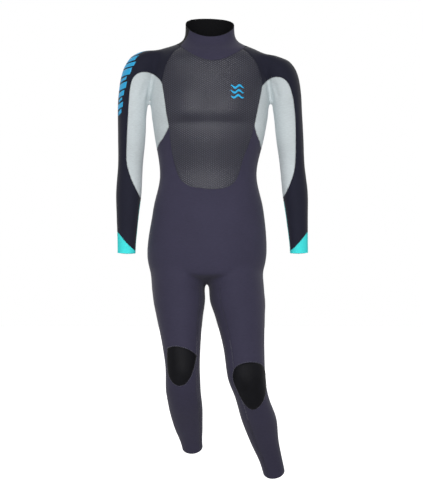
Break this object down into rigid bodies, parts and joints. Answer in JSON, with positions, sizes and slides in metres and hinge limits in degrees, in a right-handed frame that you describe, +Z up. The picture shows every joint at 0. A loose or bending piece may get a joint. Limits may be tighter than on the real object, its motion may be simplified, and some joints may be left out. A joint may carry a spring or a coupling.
{
  "type": "full wetsuit",
  "caption": "Full-length back-zip wetsuit on an unseen wearer: stand-up collar, textured chest panel, long sleeves with pale underarms, bright cuffs and black knee pads.",
  "frame": {"origin": "the middle of the neck at shoulder height, where a hanger's neck or a stand's neck post holds the suit", "axes": "+Z up towards the collar, -Y the way the chest faces, +X the wearer's left"},
  "size_m": [0.5948, 0.299, 1.4377],
  "materials": {
    "navy_neoprene": "matte knitted nylon over neoprene",
    "dark_neoprene": "matte knitted nylon over neoprene",
    "mesh_skin": "embossed smooth-skin rubber, satin",
    "grey_neoprene": "matte knitted nylon over neoprene",
    "cyan_neoprene": "matte knitted nylon over neoprene",
    "knee_rubber": "matte abrasion-proof rubberised knit",
    "zip_plastic": "moulded teeth on woven tape",
    "zip_metal": "satin plated metal"
  },
  "bodies": {
    "torso": {"collar": "navy_neoprene", "chest_panel": "mesh_skin", "front_body_panel": "navy_neoprene", "seat_panel": "navy_neoprene", "zip_backing_flap": "dark_neoprene", "zip_bottom_stop": "zip_metal", "side_panel_left": "grey_neoprene", "shoulder_yoke_left": "dark_neoprene", "back_panel_left": "navy_neoprene", "zip_tape_left": "zip_plastic", "zip_teeth_left": "zip_plastic", "zip_top_stop_left": "zip_metal", "shoulder_cap_left": "dark_neoprene", "shoulder_sleeve_left": "dark_neoprene", "hip_leg_left": "navy_neoprene", "side_panel_right": "grey_neoprene", "shoulder_yoke_right": "dark_neoprene", "back_panel_right": "navy_neoprene", "zip_tape_right": "zip_plastic", "zip_teeth_right": "zip_plastic", "zip_top_stop_right": "zip_metal", "shoulder_cap_right": "dark_neoprene", "shoulder_sleeve_right": "dark_neoprene", "hip_leg_right": "navy_neoprene"},
    "upper_arm_left": {"upper_sleeve_left": "dark_neoprene", "underarm_panel_left": "grey_neoprene", "elbow_sleeve_left": "grey_neoprene"},
    "forearm_left": {"forearm_sleeve_left": "dark_neoprene", "cuff_accent_left": "cyan_neoprene"},
    "thigh_left": {"thigh_leg_left": "navy_neoprene", "knee_leg_left": "navy_neoprene"},
    "shin_left": {"shin_leg_left": "navy_neoprene", "ankle_hem_left": "dark_neoprene", "knee_pad_left": "knee_rubber"},
    "upper_arm_right": {"upper_sleeve_right": "dark_neoprene", "underarm_panel_right": "grey_neoprene", "elbow_sleeve_right": "grey_neoprene"},
    "forearm_right": {"forearm_sleeve_right": "dark_neoprene", "cuff_accent_right": "cyan_neoprene"},
    "thigh_right": {"thigh_leg_right": "navy_neoprene", "knee_leg_right": "navy_neoprene"},
    "shin_right": {"shin_leg_right": "navy_neoprene", "ankle_hem_right": "dark_neoprene", "knee_pad_right": "knee_rubber"},
    "collar_flap": {"collar_flap": "knee_rubber"},
    "zip_slider": {"zip_slider": "zip_metal"},
    "zip_puller": {"zip_puller": "zip_metal"}
  },
  "joints": [
    {"name": "shoulder_left", "type": "hinge", "parent": "torso", "child": "upper_arm_left", "pos_m": [0.242, 0.004, -0.222], "axis": [-1, 0, 0], "range_deg": [-20, 45], "stiffness_Nm_per_rad": 3, "deforming": ["shoulder_sleeve_left"]},
    {"name": "elbow_left", "type": "hinge", "parent": "upper_arm_left", "child": "forearm_left", "pos_m": [0.251, 0.006, -0.338], "axis": [-1, 0, 0], "range_deg": [0, 80], "stiffness_Nm_per_rad": 1.5, "deforming": ["elbow_sleeve_left"]},
    {"name": "hip_left", "type": "hinge", "parent": "torso", "child": "thigh_left", "pos_m": [0.081, -0.012, -0.7], "axis": [-1, 0, 0], "range_deg": [-25, 60], "stiffness_Nm_per_rad": 14, "deforming": ["hip_leg_left"]},
    {"name": "knee_left", "type": "hinge", "parent": "thigh_left", "child": "shin_left", "pos_m": [0.113, -0.13, -0.985], "axis": [1, 0, 0], "range_deg": [-40, 60], "stiffness_Nm_per_rad": 8, "deforming": ["knee_leg_left", "knee_pad_left"]},
    {"name": "shoulder_right", "type": "hinge", "parent": "torso", "child": "upper_arm_right", "pos_m": [-0.242, 0.004, -0.222], "axis": [-1, 0, 0], "range_deg": [-20, 45], "stiffness_Nm_per_rad": 3, "deforming": ["shoulder_sleeve_right"]},
    {"name": "elbow_right", "type": "hinge", "parent": "upper_arm_right", "child": "forearm_right", "pos_m": [-0.251, 0.006, -0.338], "axis": [-1, 0, 0], "range_deg": [0, 80], "stiffness_Nm_per_rad": 1.5, "deforming": ["elbow_sleeve_right"]},
    {"name": "hip_right", "type": "hinge", "parent": "torso", "child": "thigh_right", "pos_m": [-0.099, -0.01, -0.7], "axis": [-1, 0, 0], "range_deg": [-25, 60], "stiffness_Nm_per_rad": 14, "deforming": ["hip_leg_right"]},
    {"name": "knee_right", "type": "hinge", "parent": "thigh_right", "child": "shin_right", "pos_m": [-0.083, -0.1, -0.965], "axis": [1, 0, 0], "range_deg": [-40, 60], "stiffness_Nm_per_rad": 8, "deforming": ["knee_leg_right", "knee_pad_right"]},
    {"name": "collar_flap_open", "type": "hinge", "parent": "torso", "child": "collar_flap", "pos_m": [0.045, 0.061, 0.089], "axis": [0, 0, -1], "range_deg": [0, 90]},
    {"name": "zip_travel", "type": "slide", "parent": "torso", "child": "zip_slider", "axis": [0, 0, -1], "range_m": [0, 0.44]},
    {"name": "puller_swing", "type": "hinge", "parent": "zip_slider", "child": "zip_puller", "pos_m": [0, 0.104, 0.006], "axis": [1, 0, 0], "range_deg": [0, 150]}
  ]
}
